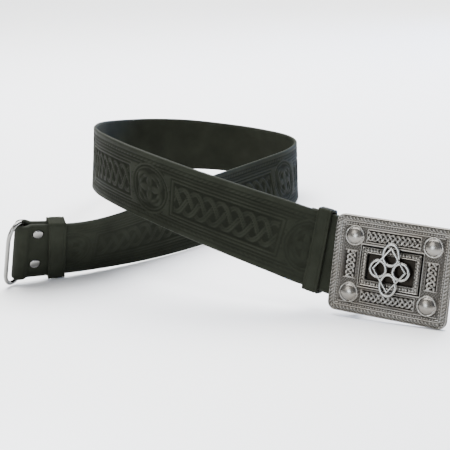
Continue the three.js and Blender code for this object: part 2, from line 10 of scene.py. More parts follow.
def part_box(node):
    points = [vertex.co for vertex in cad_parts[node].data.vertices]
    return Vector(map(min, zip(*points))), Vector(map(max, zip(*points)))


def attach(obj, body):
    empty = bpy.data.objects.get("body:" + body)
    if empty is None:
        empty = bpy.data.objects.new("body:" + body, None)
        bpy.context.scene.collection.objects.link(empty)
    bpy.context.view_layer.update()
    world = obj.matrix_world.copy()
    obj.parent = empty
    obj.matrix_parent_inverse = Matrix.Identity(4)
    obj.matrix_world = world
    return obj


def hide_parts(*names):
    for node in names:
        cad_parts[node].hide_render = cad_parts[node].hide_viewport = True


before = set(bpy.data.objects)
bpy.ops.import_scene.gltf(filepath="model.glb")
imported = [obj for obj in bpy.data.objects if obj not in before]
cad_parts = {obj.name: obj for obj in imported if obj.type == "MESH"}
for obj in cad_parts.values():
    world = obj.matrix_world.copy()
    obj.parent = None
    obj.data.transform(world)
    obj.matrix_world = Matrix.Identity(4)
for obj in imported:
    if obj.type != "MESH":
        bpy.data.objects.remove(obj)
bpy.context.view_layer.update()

bl_info = {
    "name": "Kilt belt",
    "version": (1, 0, 0),
    "blender": (4, 5, 0),
    "location": "View3D > Sidebar > Kilt belt",
    "description": "Builds a tooled leather kilt belt with its buckle, ring and stage",
    "category": "Add Mesh",
}

MM = 0.001

# Sizes of the leather, in millimetres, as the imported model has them
STRAP_LENGTH = 1130
STRAP_WIDTH = 57
HALF_LEATHER = 1.5
FIT_GAP = 0.4
LAYER_STEP = 2 * HALF_LEATHER + FIT_GAP
TAIL_FLAP_END = 37
BUCKLE_FLAP = 48
EDGE_CUT = 0.7
EDGE_ROUNDING = 1.2
KEEPER_WALL = 2
KEEPER_GAP = 0.65
KEEPERS = {
    "tail_keeper": {"at": 27, "length": 14, "tilt": 5},
    "buckle_keeper": {"at": 1106, "length": 11, "tilt": -3},
}
CREASE_DEPTH = 0.4
CREASE_INSET = 1.9
CREASE_HALF = 0.7
BUCKLE_TILT = 9
TILT_START = 1085
TILT_END = 1128

# Steps along the leather, in millimetres, and the steps in each fold
TOOLED_STEP = 1.02
PLAIN_STEP = 3
PACKED_STEP = 2
TUNNEL_STEP = 1
BLEND_STEP = 0.9
FOLD_STEPS = 14

# Sizes of the ring and the rivets
RING_RADIUS = 1.7
RING_LENGTH = 62
RING_DEPTH = 15
RING_ELBOW = 4
RING_SHOULDER = 9
RING_SHOULDER_STRETCH = 1.6
RING_STEPS = 120
RING_SWING = -35
RING_WRAP = RING_RADIUS + 2 * FIT_GAP + HALF_LEATHER
RING_AT = HALF_LEATHER + RING_WRAP
RING_OFFSET = 1.7
RING_TUNNEL = 2
WIRE_SIDES = 14
RIVET_AT = 17.5
RIVET_HEIGHTS = {"lower_rivet": 0.28, "upper_rivet": 0.84}
RIVET_CAP_RADIUS = 4.5
RIVET_CAP_HEIGHT = 2.2
RIVET_CAP_GAP = 0.08
RIVET_SHANK_RADIUS = 1.5
RIVET_BACK_RADIUS = 3.8
RIVET_BACK_THICKNESS = 0.9
RIVET_BACK_ROUNDING = 0.3
RIVET_BACK_GAP = 0.1
CLAMP_MARGIN = 0.5

# Sizes of the buckle
PLATE_WIDTH = 89.5
PLATE_HEIGHT = 70
PLATE_THICKNESS = 2.4
PLATE_CORNER = 6
BAR_RADIUS = 2
BAR_FROM_EDGE = 19.5
PLATE_OVERLAP = 5.2
BAR_WRAP = BAR_RADIUS + 1.2 * FIT_GAP + HALF_LEATHER
BAR_BLEND = 14
BAR_AT = STRAP_LENGTH - PLATE_OVERLAP + BAR_FROM_EDGE
BAR_X = -PLATE_WIDTH / 2 + BAR_FROM_EDGE
BAR_Z = -PLATE_THICKNESS - 1.5 * FIT_GAP - BAR_WRAP - HALF_LEATHER
LUG_LENGTH = 5
LUG_WIDTH = 2.8
LUG_GAP = 1.1
CAST_ROUNDING = 0.5
CAST_SINK = 0.4

# Relief of the buckle's front: each row's distance in from the edge, half width and height
RIM_WIDTH = 1.2
ROPE_ROW = (2.6, 1.4, 1.15)
OUTER_LINE = (4.6, 0.5, 0.7)
BEAD_ROW = (5.9, 0.8, 0.8)
INNER_LINE = (7.3, 0.45, 0.6)
PANEL_INSET = 6.4
PANEL_HALF = 4.9
SIDE_PANEL_HALF = 10.3
END_PANEL_HALF = 20.5
PANEL_LINE = (0.4, 0.45, 0.7)
PANEL_MARGIN = 0.9
PANEL_SINK = 0.3
PANEL_PLAIT = {"reach": 2.7, "period": 11, "half_strand": 0.8}
FRAME_HALF = (22.5, 14.2)
FRAME_BAR = 5
FRAME_LINE = (-1.1, 0.5, 0.7)
FRAME_RISE = 1.3
RECESS_DEPTH = 1.3
STUD_PLACES = [(x, y) for x in (-29.4, 29.4) for y in (-20.5, 20.5)]
STUD_RADIUS = 6.2
STUD_HEIGHT = 3.2
STUD_FOOT = 0.3
STUD_CLEARING = 1.4
STUD_RING = (0.6, 0.65, 1)
TARNISH_HEIGHTS = (-0.35, 0.85)

# The strap's course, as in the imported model: shares of the length, heading and lean in
# degrees, and rise of the lower edge as a share of the width
COURSE_COLUMNS = ("share", "heading", "lean", "rise")
COURSE = np.array(
    [
        (0.00, 21.0, -27.0, 0.075),
        (0.05, 23.8, -31.2, 0.022),
        (0.10, 32.6, -19.0, 0.000),
        (0.15, 42.9, -0.9, 0.000),
        (0.20, 50.4, 12.8, 0.000),
        (0.25, 56.8, 12.5, 0.000),
        (0.30, 72.2, 2.7, 0.000),
        (0.35, 99.2, -0.4, 0.000),
        (0.40, 133.2, 8.2, 0.050),
        (0.45, 170.0, 14.7, 0.160),
        (0.50, 205.5, 10.0, 0.267),
        (0.55, 235.8, 2.9, 0.379),
        (0.60, 257.3, 3.0, 0.516),
        (0.65, 269.6, 6.9, 0.663),
        (0.70, 275.5, 7.5, 0.802),
        (0.75, 283.4, 3.9, 0.910),
        (0.80, 296.7, -0.2, 0.960),
        (0.85, 312.2, -2.5, 0.885),
        (0.90, 325.8, -1.7, 0.690),
        (0.95, 331.5, 4.5, 0.430),
        (0.97, 329.0, 9.0, 0.320),
        (0.985, 327.0, 12.5, 0.260),
    ]
)

# Places of the tooled ornament along the strap, in millimetres
FIRST_MEDALLION = 44
TAIL_PERIOD = 138
LOOP_SPACES = 5
LAST_MEDALLIONS = (963, 1101)
MEDALLION_RADIUS = 21
PLAIN_TAIL = 27
PLAIN_FACE = 0.85
TOOLING_END = 1110

# Sizes of the tooled ornament, in millimetres; a ring has a radius and a half width
ROPE_INSET = 6.2
ROPE_BAND = 2.1
ROPE_HALF = 1.6
ROPE_PITCH = 4.2
GROOVE_INSET = 10.6
GROOVE_HALF = 0.9
PLAIT_HALF = 15.2
PLAIT_GAP = 0.5
PLAIT_LINE = 1.2
PLAIT_LINE_HALF = 1.1
PLAIT_MARGIN = 3.4
PLAIT = {"reach": 9.6, "period": 33, "half_strand": 2.05}
OUTER_RING = (19.8, 1.1)
INNER_RING = (17, 0.9)
KNOT_CIRCLE = (10.4, 1.5)
KNOT_LOOP = (6.8, 1.7)
KNOT_LOOP_OUT = 7.4
BOSS_RADIUS = 2.3

# Wear beside each keeper: where it changes along the strap, and the share of height lost
TAIL_WORN = (60, 190)
TAIL_WEAR = 0.65
BUCKLE_WORN = (1055, 1090)
BUCKLE_WEAR = 0.45


# The course of the strap


def course_column(name, share):
    """Smooth reading of one column of the course."""
    places = COURSE[:, 0]
    values = COURSE[:, COURSE_COLUMNS.index(name)]
    slopes = np.gradient(values) / np.gradient(places)
    i = np.clip(np.searchsorted(places, share, side="left") - 1, 0, len(places) - 2)
    width = places[i + 1] - places[i]
    t = (share - places[i]) / width
    start = (2 * t**3 - 3 * t**2 + 1) * values[i] + (t**3 - 2 * t**2 + t) * width * slopes[i]
    return start + (3 * t**2 - 2 * t**3) * values[i + 1] + (t**3 - t**2) * width * slopes[i + 1]


def walk_course():
    """Lower edge of the strap in steps of a millimetre, with its directions."""
    along = np.arange(0, STRAP_LENGTH * COURSE[-1, 0] + 1e-9)
    share = along / STRAP_LENGTH
    heading = np.radians(course_column("heading", share))
    lean = np.radians(course_column("lean", share))
    rise = course_column("rise", share) * STRAP_WIDTH
    ahead = course_column("rise", share + 1 / STRAP_LENGTH) * STRAP_WIDTH
    climb = np.arcsin(ahead - rise)
    step_x = np.cos(heading) * np.cos(climb)
    step_y = np.sin(heading) * np.cos(climb)
    x = np.concatenate([[0], np.cumsum(step_x)[:-1]])
    y = np.concatenate([[0], np.cumsum(step_y)[:-1]])
    z = rise + HALF_LEATHER * np.abs(np.sin(lean))
    return np.stack([x, y, z, heading, lean, climb], axis=1)


WALK = walk_course()


def strap_frames(along):
    """Origins on the lower edge, and the directions along, up and across, for many places."""
    place = np.clip(along, 0, len(WALK) - 1.001)
    i = place.astype(int)
    part = (place - i)[:, None]
    row = WALK[i] * (1 - part) + WALK[i + 1] * part
    heading, lean, climb = row[:, 3], row[:, 4], row[:, 5]
    flat = np.stack([np.cos(heading), np.sin(heading), 0 * heading], axis=1)
    side = np.stack([-np.sin(heading), np.cos(heading), 0 * heading], axis=1)
    forward = flat * np.cos(climb)[:, None]
    forward[:, 2] = np.sin(climb)
    plumb = flat * -np.sin(climb)[:, None]
    plumb[:, 2] = np.cos(climb)
    up = plumb * np.cos(lean)[:, None] + side * np.sin(lean)[:, None]
    across = side * np.cos(lean)[:, None] - plumb * np.sin(lean)[:, None]
    origin = row[:, :3] + forward * (along - place)[:, None]
    return origin, forward, up, across


def smooth_step(value, low, high):
    """Smooth rise from 0 at one value to 1 at another."""
    t = np.clip((value - low) / (high - low), 0, 1)
    return t * t * (3 - 2 * t)


def strap_points(along, offset, height):
    """Points at distances along the strap, across it and up its width, in millimetres."""
    places = (np.asarray(place, float) for place in (along, offset, height))
    along, offset, height = np.broadcast_arrays(*places)
    shape = along.shape
    along, offset, height = along.ravel(), offset.ravel(), height.ravel()
    tilt = np.radians(smooth_step(along, TILT_START, TILT_END) * BUCKLE_TILT)
    skewed = along - np.tan(tilt) * (height - STRAP_WIDTH / 2)
    origin, _, up, across = strap_frames(skewed)
    points = origin + across * offset[:, None] + up * height[:, None]
    return points.reshape(shape + (3,))


def leather_line(fine, coarse):
    """Middle line of the leather from the end of one flap to the end of the other."""
    tunnel_end = RING_AT + RING_TUNNEL
    clamp_start = RIVET_AT - RIVET_CAP_RADIUS - CLAMP_MARGIN
    bar_blend = BAR_AT - BAR_BLEND
    flap_end = BAR_AT - BUCKLE_FLAP
    pieces = []

    def run(start, end, step):
        count = max(int(round(abs(end - start) / step)), 2)
        return np.linspace(start, end, count, endpoint=False)

    def flat(start, end, offset, step):
        along = run(start, end, step)
        pieces.append((along, np.full_like(along, offset)))

    def blend(start, end, from_offset, to_offset):
        along = run(start, end, BLEND_STEP)
        t = smooth_step(np.linspace(0, 1, len(along), endpoint=False), 0, 1)
        pieces.append((along, from_offset + (to_offset - from_offset) * t))

    def fold(centre_along, centre_offset, radius, start, end):
        angle = np.radians(np.linspace(start, end, FOLD_STEPS, endpoint=False))
        pieces.append((centre_along + radius * np.cos(angle), centre_offset + radius * np.sin(angle)))

    flat(TAIL_FLAP_END, clamp_start, LAYER_STEP, coarse)
    blend(clamp_start, tunnel_end, LAYER_STEP, RING_OFFSET + RING_WRAP)
    flat(tunnel_end, RING_AT, RING_OFFSET + RING_WRAP, TUNNEL_STEP)
    fold(RING_AT, RING_OFFSET, RING_WRAP, 90, 270)
    flat(RING_AT, tunnel_end, RING_OFFSET - RING_WRAP, TUNNEL_STEP)
    blend(tunnel_end, clamp_start, RING_OFFSET - RING_WRAP, 0)
    flat(clamp_start, PLAIN_TAIL, 0, coarse)
    flat(PLAIN_TAIL, TOOLING_END, 0, fine)
    flat(TOOLING_END, BAR_AT, 0, coarse)
    fold(BAR_AT, BAR_WRAP, BAR_WRAP, -90, 90)
    blend(BAR_AT, bar_blend, 2 * BAR_WRAP, LAYER_STEP)
    flat(bar_blend, flap_end, LAYER_STEP, coarse)
    pieces.append(([flap_end], [LAYER_STEP]))
    along, offset = (np.concatenate(column) for column in zip(*pieces))
    return along, offset


def line_normals(along, offset):
    """Directions across the leather's middle line, towards the inner side on the main run."""
    step = np.stack([np.gradient(along), np.gradient(offset)], axis=1)
    step /= np.linalg.norm(step, axis=1)[:, None]
    return -step[:, 1], step[:, 0]


def model_shift():
    """Vector from the course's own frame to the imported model's, found from the strap's box."""
    along, offset = leather_line(PACKED_STEP, PACKED_STEP)
    side_along, side_offset = line_normals(along, offset)
    half_edge = HALF_LEATHER - EDGE_CUT
    section = (
        (0, half_edge),
        (EDGE_CUT, HALF_LEATHER),
        (STRAP_WIDTH - EDGE_CUT, HALF_LEATHER),
        (STRAP_WIDTH, half_edge),
    )
    corners = []
    for height, half in section:
        for across in (-half, half):
            corners.append(strap_points(along + across * side_along, offset + across * side_offset, height))
    points = np.concatenate(corners)
    low, high = (np.array(corner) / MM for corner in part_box("strap"))
    shift = (low + high - points.min(0) - points.max(0)) / 2
    shift[2] = low[2] - points[:, 2].min()
    return shift


SHIFT = model_shift()


def in_model(points):
    """Course points in millimetres as model points in metres."""
    return (points + SHIFT) * MM


# Tooled ornament


def ridge(distance, half):
    """Round-topped strand of one unit height about a line."""
    return np.sqrt(np.clip(1 - (distance / half) ** 2, 0, 1))


def beaded(along, pitch):
    """Waves from 0 to 1 that part a line into beads or twists."""
    return np.abs(np.sin(math.pi * along / pitch))


def braid(x, y, reach, period, half_strand):
    """Height of a braid of three curving double cords that pass over and under, 0 to 1."""
    strands = np.arange(3).reshape(-1, *[1] * x.ndim)
    turns = 2 * math.pi * x / period + strands * 2 * math.pi / 3
    centre = reach * np.sin(turns)
    slope = reach * 2 * math.pi / period * np.cos(turns)
    distance = (y - centre) / np.sqrt(1 + slope**2)
    level = -np.sin(2 * turns)
    order = np.argsort(level, axis=0)
    half_cord = 0.5 * half_strand
    cleared = 1.2 * half_strand
    height = np.zeros_like(x)
    for rank in range(3):
        place = order[rank : rank + 1]
        away = np.abs(np.take_along_axis(distance, place, 0)[0])
        over = 0.78 + 0.22 * np.take_along_axis(level, place, 0)[0]
        height = np.where(away < cleared, ridge(away - half_cord, half_cord) * over, height)
    return height


def rope(along, across, pitch, half):
    """Height of a twisted rope line, 0 to 1."""
    twist = beaded(along + 1.1 * across, pitch) ** 0.7
    return ridge(across, half) * (0.25 + 0.75 * twist)


def ring_line(radius, ring):
    """Strand along a ring, from the ring's radius and half width."""
    return ridge(radius - ring[0], ring[1])


def medallion(x, y):
    """Height of a round medallion: two rings about a knot of four loops and a circle."""
    level, weave = 0.74, 0.26
    radius = np.hypot(x, y)
    height = np.maximum(ring_line(radius, OUTER_RING), 0.8 * ring_line(radius, INNER_RING))
    for turn in np.radians([45, 135, 225, 315]):
        from_x = x - KNOT_LOOP_OUT * math.cos(turn)
        from_y = y - KNOT_LOOP_OUT * math.sin(turn)
        over = level + weave * np.cos(3 * (np.arctan2(from_y, from_x) - turn))
        height = np.maximum(height, ring_line(np.hypot(from_x, from_y), KNOT_LOOP) * over)
    over = level - weave * np.cos(8 * np.arctan2(y, x))
    height = np.maximum(height, ring_line(radius, KNOT_CIRCLE) * over)
    return np.maximum(height, ridge(radius, BOSS_RADIUS))


def medallion_places():
    """Centres of the medallions, evenly spaced round the loop's far side."""
    second = FIRST_MEDALLION + TAIL_PERIOD
    third = second + TAIL_PERIOD
    loop = np.linspace(third, LAST_MEDALLIONS[0], LOOP_SPACES + 1)
    return np.concatenate([[FIRST_MEDALLION, second], loop, [LAST_MEDALLIONS[1]]])


def tooling(along, up):
    """Height of the tooled pattern over the strap's outer face, 0 pressed to 1 raised."""
    middle = up - STRAP_WIDTH / 2
    edge = STRAP_WIDTH / 2 - np.abs(middle)
    height = np.full_like(along, PLAIN_FACE)
    # Border: a sunk rope line and a fine groove inside it
    rope_rise, groove_depth = 0.95, 0.75
    sunk = np.abs(edge - ROPE_INSET) < ROPE_BAND
    height = np.where(sunk, rope_rise * rope(along, edge - ROPE_INSET, ROPE_PITCH, ROPE_HALF), height)
    height -= groove_depth * ridge(edge - GROOVE_INSET, GROOVE_HALF)
    centres = medallion_places()
    for left, right in zip(centres[:-1], centres[1:]):
        half_x = (right - left) / 2 - MEDALLION_RADIUS - PLAIT_GAP
        x = along - (left + right) / 2
        inset = np.minimum(half_x - np.abs(x), PLAIT_HALF - np.abs(middle))
        plait = braid(x, middle, **PLAIT) * (inset > PLAIT_MARGIN)
        panel = np.maximum(ridge(inset - PLAIT_LINE, PLAIT_LINE_HALF), plait)
        height = np.where(inset > 0, panel, height)
    for centre in centres:
        x = along - centre
        height = np.where(np.hypot(x, middle) < MEDALLION_RADIUS, medallion(x, middle), height)
    from_tail = 1 - TAIL_WEAR * (1 - smooth_step(along, *TAIL_WORN))
    to_buckle = 1 - BUCKLE_WEAR * smooth_step(along, *BUCKLE_WORN)
    height = PLAIN_FACE + (np.clip(height, 0, 1) - PLAIN_FACE) * from_tail * to_buckle
    worked = (along > PLAIN_TAIL) & (along < TOOLING_END)
    return np.where(worked, height, PLAIN_FACE)


# Making and finishing pieces


def deselect():
    bpy.ops.object.select_all(action="DESELECT")


def point_places(mesh):
    """Places of a mesh's points, one in each row."""
    places = np.empty(len(mesh.vertices) * 3, np.float32)
    mesh.vertices.foreach_get("co", places)
    return places.reshape(-1, 3)


def grid_piece(name, points, around_rows=False, around_columns=False, values=None):
    """Grid primitive laid over rows and columns of points, its seams merged and ends closed."""
    rows, columns = points.shape[:2]
    deselect()
    bpy.ops.mesh.primitive_grid_add(x_subdivisions=rows - 1, y_subdivisions=columns - 1, size=1)
    piece = bpy.context.object
    piece.name = name
    mesh = piece.data
    flat = point_places(mesh)
    i = np.rint((flat[:, 0] + 0.5) * (rows - 1)).astype(int)
    j = np.rint((flat[:, 1] + 0.5) * (columns - 1)).astype(int)
    mesh.vertices.foreach_set("co", points[i, j].astype(np.float32).ravel())
    for label, value in (values or {}).items():
        layer = mesh.attributes.new(label, "FLOAT", "POINT")
        layer.data.foreach_set("value", value[i, j].astype(np.float32))
    mesh.update()
    bpy.ops.object.mode_set(mode="EDIT")
    bpy.ops.mesh.select_all(action="SELECT")
    if around_rows or around_columns:
        bpy.ops.mesh.remove_doubles(threshold=1e-6)
    if around_columns and not around_rows:
        bpy.ops.mesh.select_all(action="DESELECT")
        bpy.ops.mesh.select_mode(type="EDGE")
        bpy.ops.mesh.select_non_manifold()
        bpy.ops.mesh.edge_face_add()
        bpy.ops.mesh.select_mode(type="VERT")
    bpy.ops.mesh.select_all(action="SELECT")
    bpy.ops.mesh.normals_make_consistent(inside=False)
    bpy.ops.object.mode_set(mode="OBJECT")
    bpy.ops.object.shade_smooth()
    return piece


def place_mesh(piece, matrix):
    """Bakes the object's own transform and then a placement into the mesh."""
    bpy.context.view_layer.update()
    piece.data.transform(matrix @ piece.matrix_world)
    piece.matrix_world = Matrix.Identity(4)
    return piece


def join_pieces(name, pieces):
    """Joins pieces into one object with a new name."""
    deselect()
    for piece in pieces:
        piece.select_set(True)
    bpy.context.view_layer.objects.active = pieces[0]
    bpy.ops.object.join()
    joined = bpy.context.object
    joined.name = name
    return joined


def bevelled(piece, width):
    """Rounds a piece's edges with a bevel that is applied."""
    modifier = piece.modifiers.new("rounding", "BEVEL")
    modifier.width = width
    modifier.segments = 3
    modifier.limit_method = "ANGLE"
    deselect()
    piece.select_set(True)
    bpy.context.view_layer.objects.active = piece
    bpy.ops.object.modifier_apply(modifier="rounding")
    bpy.ops.object.shade_smooth_by_angle(angle=math.radians(35))
    return piece


def rounded_box(name, size, centre, rounding):
    """Box with rounded edges, its sizes and place in millimetres."""
    deselect()
    bpy.ops.mesh.primitive_cube_add(size=1, location=Vector(centre) * MM)
    box = bpy.context.object
    box.name = name
    box.scale = Vector(size) * MM
    bpy.ops.object.transform_apply(location=True, rotation=False, scale=True)
    return bevelled(box, rounding * MM)


def cylinder(vertices, radius, depth, centre, rotation=(0, 0, 0)):
    """Round bar or disc, its sizes and place in millimetres."""
    deselect()
    bpy.ops.mesh.primitive_cylinder_add(
        vertices=vertices,
        radius=radius * MM,
        depth=depth * MM,
        location=Vector(centre) * MM,
        rotation=rotation,
    )
    bpy.ops.object.transform_apply(location=True, rotation=True, scale=False)
    return bpy.context.object


def finish_piece(piece, node, body, material):
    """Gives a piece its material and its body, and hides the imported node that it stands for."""
    piece.data.materials.clear()
    piece.data.materials.append(material)
    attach(piece, body)
    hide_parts(node)


def strap_placement(along, offset, height):
    """Matrix at a spot on the strap: x along it, y up its width, z out of its outer face."""
    reach = 2
    ahead, behind = strap_points([along + reach, along - reach], offset, height)
    forward = Vector(ahead - behind).normalized()
    up = Vector(strap_frames(np.array([along]))[2][0])
    outward = forward.cross(up).normalized()
    raised = outward.cross(forward)
    spot = Vector(in_model(strap_points(along, offset, height)))
    return Matrix.Translation(spot) @ Matrix((forward, raised, outward)).transposed().to_4x4()


def buckle_placement():
    """Matrix of the buckle: x across the plate, y up its bar, z out of its front face."""
    bar = strap_placement(BAR_AT, BAR_WRAP, STRAP_WIDTH / 2)
    tilt = Matrix.Rotation(math.radians(BUCKLE_TILT), 4, "Z")
    return bar @ tilt @ Matrix.Translation(Vector((-BAR_X, 0, -BAR_Z)) * MM)


# Materials


def feed(tree, node, inputs):
    """Sets inputs of a node to values, or links them to sockets."""
    for name, value in inputs.items():
        if isinstance(value, bpy.types.NodeSocket):
            tree.links.new(value, node.inputs[name])
        else:
            node.inputs[name].default_value = value


def add_node(tree, kind, inputs, **options):
    """New shader node with its options and inputs."""
    node = tree.nodes.new("ShaderNode" + kind)
    for name, value in options.items():
        setattr(node, name, value)
    feed(tree, node, inputs)
    return node


def maths(tree, operation, first, second):
    """Sum, product or the like of two numbers or sockets."""
    return add_node(tree, "Math", {0: first, 1: second}, operation=operation).outputs[0]


def colour_mix(tree, factor, low, high):
    """Blend of two colours by a mask."""
    inputs = {"Factor": factor}
    for name, colour in (("A", low), ("B", high)):
        inputs[name] = colour if isinstance(colour, bpy.types.NodeSocket) else (*colour, 1)
    return add_node(tree, "Mix", inputs, data_type="RGBA").outputs["Result"]


def attribute(tree, name):
    """A mask that is kept on the mesh."""
    return add_node(tree, "Attribute", {}, attribute_name=name).outputs["Fac"]


def value_range(tree, value, low, high):
    """A mask from 0 to 1 spread over a range of values."""
    return add_node(tree, "MapRange", {"Value": value, "To Min": low, "To Max": high}).outputs["Result"]


def grain_group():
    """Fine pebbled grain, and a slow mottle, in the object's own space."""
    existing = bpy.data.node_groups.get("surface_grain")
    if existing:
        return existing
    group = bpy.data.node_groups.new("surface_grain", "ShaderNodeTree")
    for label, way in (("Size", "INPUT"), ("Height", "OUTPUT"), ("Mottle", "OUTPUT")):
        group.interface.new_socket(label, in_out=way, socket_type="NodeSocketFloat")
    entry = group.nodes.new("NodeGroupInput")
    leave = group.nodes.new("NodeGroupOutput")
    place = add_node(group, "TexCoord", {}).outputs["Object"]
    scale = maths(group, "DIVIDE", 1.0, entry.outputs["Size"])
    cloud_scale = maths(group, "MULTIPLY", scale, 0.45)
    pebbles = add_node(
        group, "TexVoronoi", {"Vector": place, "Scale": scale, "Smoothness": 0.6}, feature="SMOOTH_F1"
    )
    cloud = add_node(group, "TexNoise", {"Vector": place, "Scale": cloud_scale, "Detail": 4})
    mottle = add_node(group, "TexNoise", {"Vector": place, "Scale": 45, "Detail": 3})
    rounded = maths(group, "SUBTRACT", 1.0, pebbles.outputs["Distance"])
    pebble_part = maths(group, "MULTIPLY", rounded, 0.55)
    cloud_part = maths(group, "MULTIPLY", cloud.outputs["Fac"], 0.45)
    height = maths(group, "ADD", pebble_part, cloud_part)
    feed(group, leave, {"Height": height, "Mottle": mottle.outputs["Fac"]})
    return group


def grained_material(name, grain_size):
    """New material with the shared grain in it, at its own size."""
    material = bpy.data.materials.new(name)
    material.use_nodes = True
    tree = material.node_tree
    grain = add_node(tree, "Group", {}, node_tree=grain_group())
    feed(tree, grain, {"Size": grain_size})
    return material, tree, grain


def dress_surface(tree, grain, strength, depth, inputs):
    """Feeds the material's surface its inputs and the bump of its grain."""
    height = grain.outputs["Height"]
    bump = add_node(tree, "Bump", {"Strength": strength, "Distance": depth, "Height": height})
    feed(tree, tree.nodes["Principled BSDF"], {"Normal": bump.outputs["Normal"], **inputs})


def leather_material(name, settings, relief):
    """Black leather; where tooled, hollows are darker with painted shade and duller, and cut edges a little
    lighter.
    """
    material, tree, grain = grained_material(name, 0.0009)
    mottle = grain.outputs["Mottle"]
    shade = value_range(tree, mottle, -0.2, 1.2)
    colour = colour_mix(tree, shade, settings.leather_dark, settings.leather_light)
    if relief:
        raised = attribute(tree, "relief")
        # Painted shade: the tooled hollows take a darker colour than the raised leather
        pressed = colour_mix(tree, raised, settings.leather_hollow_shade, colour)
        colour = colour_mix(tree, attribute(tree, "edge"), pressed, settings.leather_edge)
        burnished = maths(tree, "SUBTRACT", 0.72, maths(tree, "MULTIPLY", raised, 0.18))
        rough = maths(tree, "ADD", burnished, maths(tree, "MULTIPLY", mottle, 0.08))
    else:
        rough = value_range(tree, mottle, 0.5, 0.62)
    inputs = {
        "Base Color": colour,
        "Roughness": rough,
        "Specular IOR Level": 0.025,
        "Specular Tint": (0.95, 1, 0.78, 1),
    }
    dress_surface(tree, grain, 0.35, 0.0003, inputs)
    return material


def metal_material(name, settings, relief, roughness):
    """Silvery metal, with dark tarnish in its hollows where it is cast in relief."""
    material, tree, grain = grained_material(name, 0.0011)
    mottle = grain.outputs["Mottle"]
    if relief:
        raised = attribute(tree, "relief")
        clean = colour_mix(tree, mottle, settings.metal_warm, settings.metal_bright)
        colour = colour_mix(tree, value_range(tree, raised, 0, 1), settings.metal_tarnish, clean)
        tarnished = 0.22
        polish = maths(tree, "MULTIPLY", raised, tarnished)
        rough = maths(tree, "SUBTRACT", roughness + tarnished, polish)
    else:
        duller = [0.7 * channel for channel in settings.metal_polished]
        colour = colour_mix(tree, mottle, duller, settings.metal_polished)
        rough = value_range(tree, mottle, roughness - 0.04, roughness + 0.06)
    dress_surface(tree, grain, 0.12, 0.0002, {"Base Color": colour, "Roughness": rough, "Metallic": 1})
    return material


def shared(name, make, *arguments):
    """A material that is made once and used again by name."""
    return bpy.data.materials.get(name) or make(name, *arguments)


def polished_metal(settings):
    """Metal of the ring, the rivets and the badge."""
    return shared("polished_metal", metal_material, settings, False, 0.2)


# Sizes and colours that a user would change


def colour_setting(name, note, colour):
    """A colour that a user can change."""
    return bpy.props.FloatVectorProperty(name=name, description=note, subtype="COLOR", default=colour)


class KiltBeltSettings(bpy.types.PropertyGroup):
    relief_depth: bpy.props.FloatProperty(
        name="Tooling depth", description="Depth of the pressed pattern", default=0.0009, unit="LENGTH"
    )
    leather_dark: colour_setting("Leather, dark", "Darker colour of the leather", (0.0098, 0.0108, 0.0079))
    leather_light: colour_setting("Leather, light", "Lighter colour of the leather", (0.0218, 0.0239, 0.0175))
    # Colour of the painted shade in the tooled hollows
    leather_hollow_shade: colour_setting("Leather, pressed", "Colour of the hollows", (0.0082, 0.009, 0.0066))
    leather_edge: colour_setting("Leather, edge", "Colour of the cut edges", (0.024, 0.026, 0.021))
    metal_bright: colour_setting("Metal, bright", "Colour of the cast metal", (0.215, 0.214, 0.208))
    metal_warm: colour_setting("Metal, warm", "Warmer colour of the cast metal", (0.12, 0.103, 0.08))
    metal_polished: colour_setting("Metal, polished", "Colour of the plain metal", (0.24, 0.237, 0.224))
    metal_tarnish: colour_setting("Metal, tarnish", "Colour of the cast hollows", (0.012, 0.01, 0.008))
    floor_colour: colour_setting("Floor", "Colour of the floor", (0.95, 0.95, 0.95))
    light_power: bpy.props.FloatProperty(
        name="Light", description="Power of the main soft light", default=140, min=0, unit="POWER"
    )


def settings_of(context):
    return context.scene.kilt_belt


# Pieces


class KILTBELT_OT_strap(bpy.types.Operator):
    """Tooled strap with both folds and rounded cut edges"""

    bl_idname = "kiltbelt.strap"
    bl_label = "Strap"

    def execute(self, context):
        settings = settings_of(context)
        along, offset = leather_line(TOOLED_STEP, PLAIN_STEP)
        side_along, side_offset = line_normals(along, offset)
        face, height, edge = strap_section()
        outer = face < -HALF_LEATHER + 1e-6
        pattern = tooling(*np.broadcast_arrays(along[:, None], height[None, :]))
        main_run = main_run_rows(along, offset)
        relief = np.where(outer[None, :] & main_run[:, None], pattern, PLAIN_FACE)
        depth = (PLAIN_FACE - relief) * settings.relief_depth / MM
        across = face[None, :] + depth
        points = strap_points(
            along[:, None] + side_along[:, None] * across,
            offset[:, None] + side_offset[:, None] * across,
            height[None, :],
        )
        # The relief mask also places the painted shade in the tooled hollows
        masks = {"relief": relief, "edge": np.broadcast_to(edge[None, :], relief.shape)}
        piece = grid_piece("tooled_strap", in_model(points), around_columns=True, values=masks)
        material = shared("tooled_leather", leather_material, settings, True)
        finish_piece(piece, "strap", "strap", material)
        return {"FINISHED"}


def main_run_rows(along, offset):
    """Rows of the leather line that lie on the outer main run and not on a flap or fold."""
    step = np.gradient(along)
    return (step > 0) & (np.abs(offset) < 0.01)


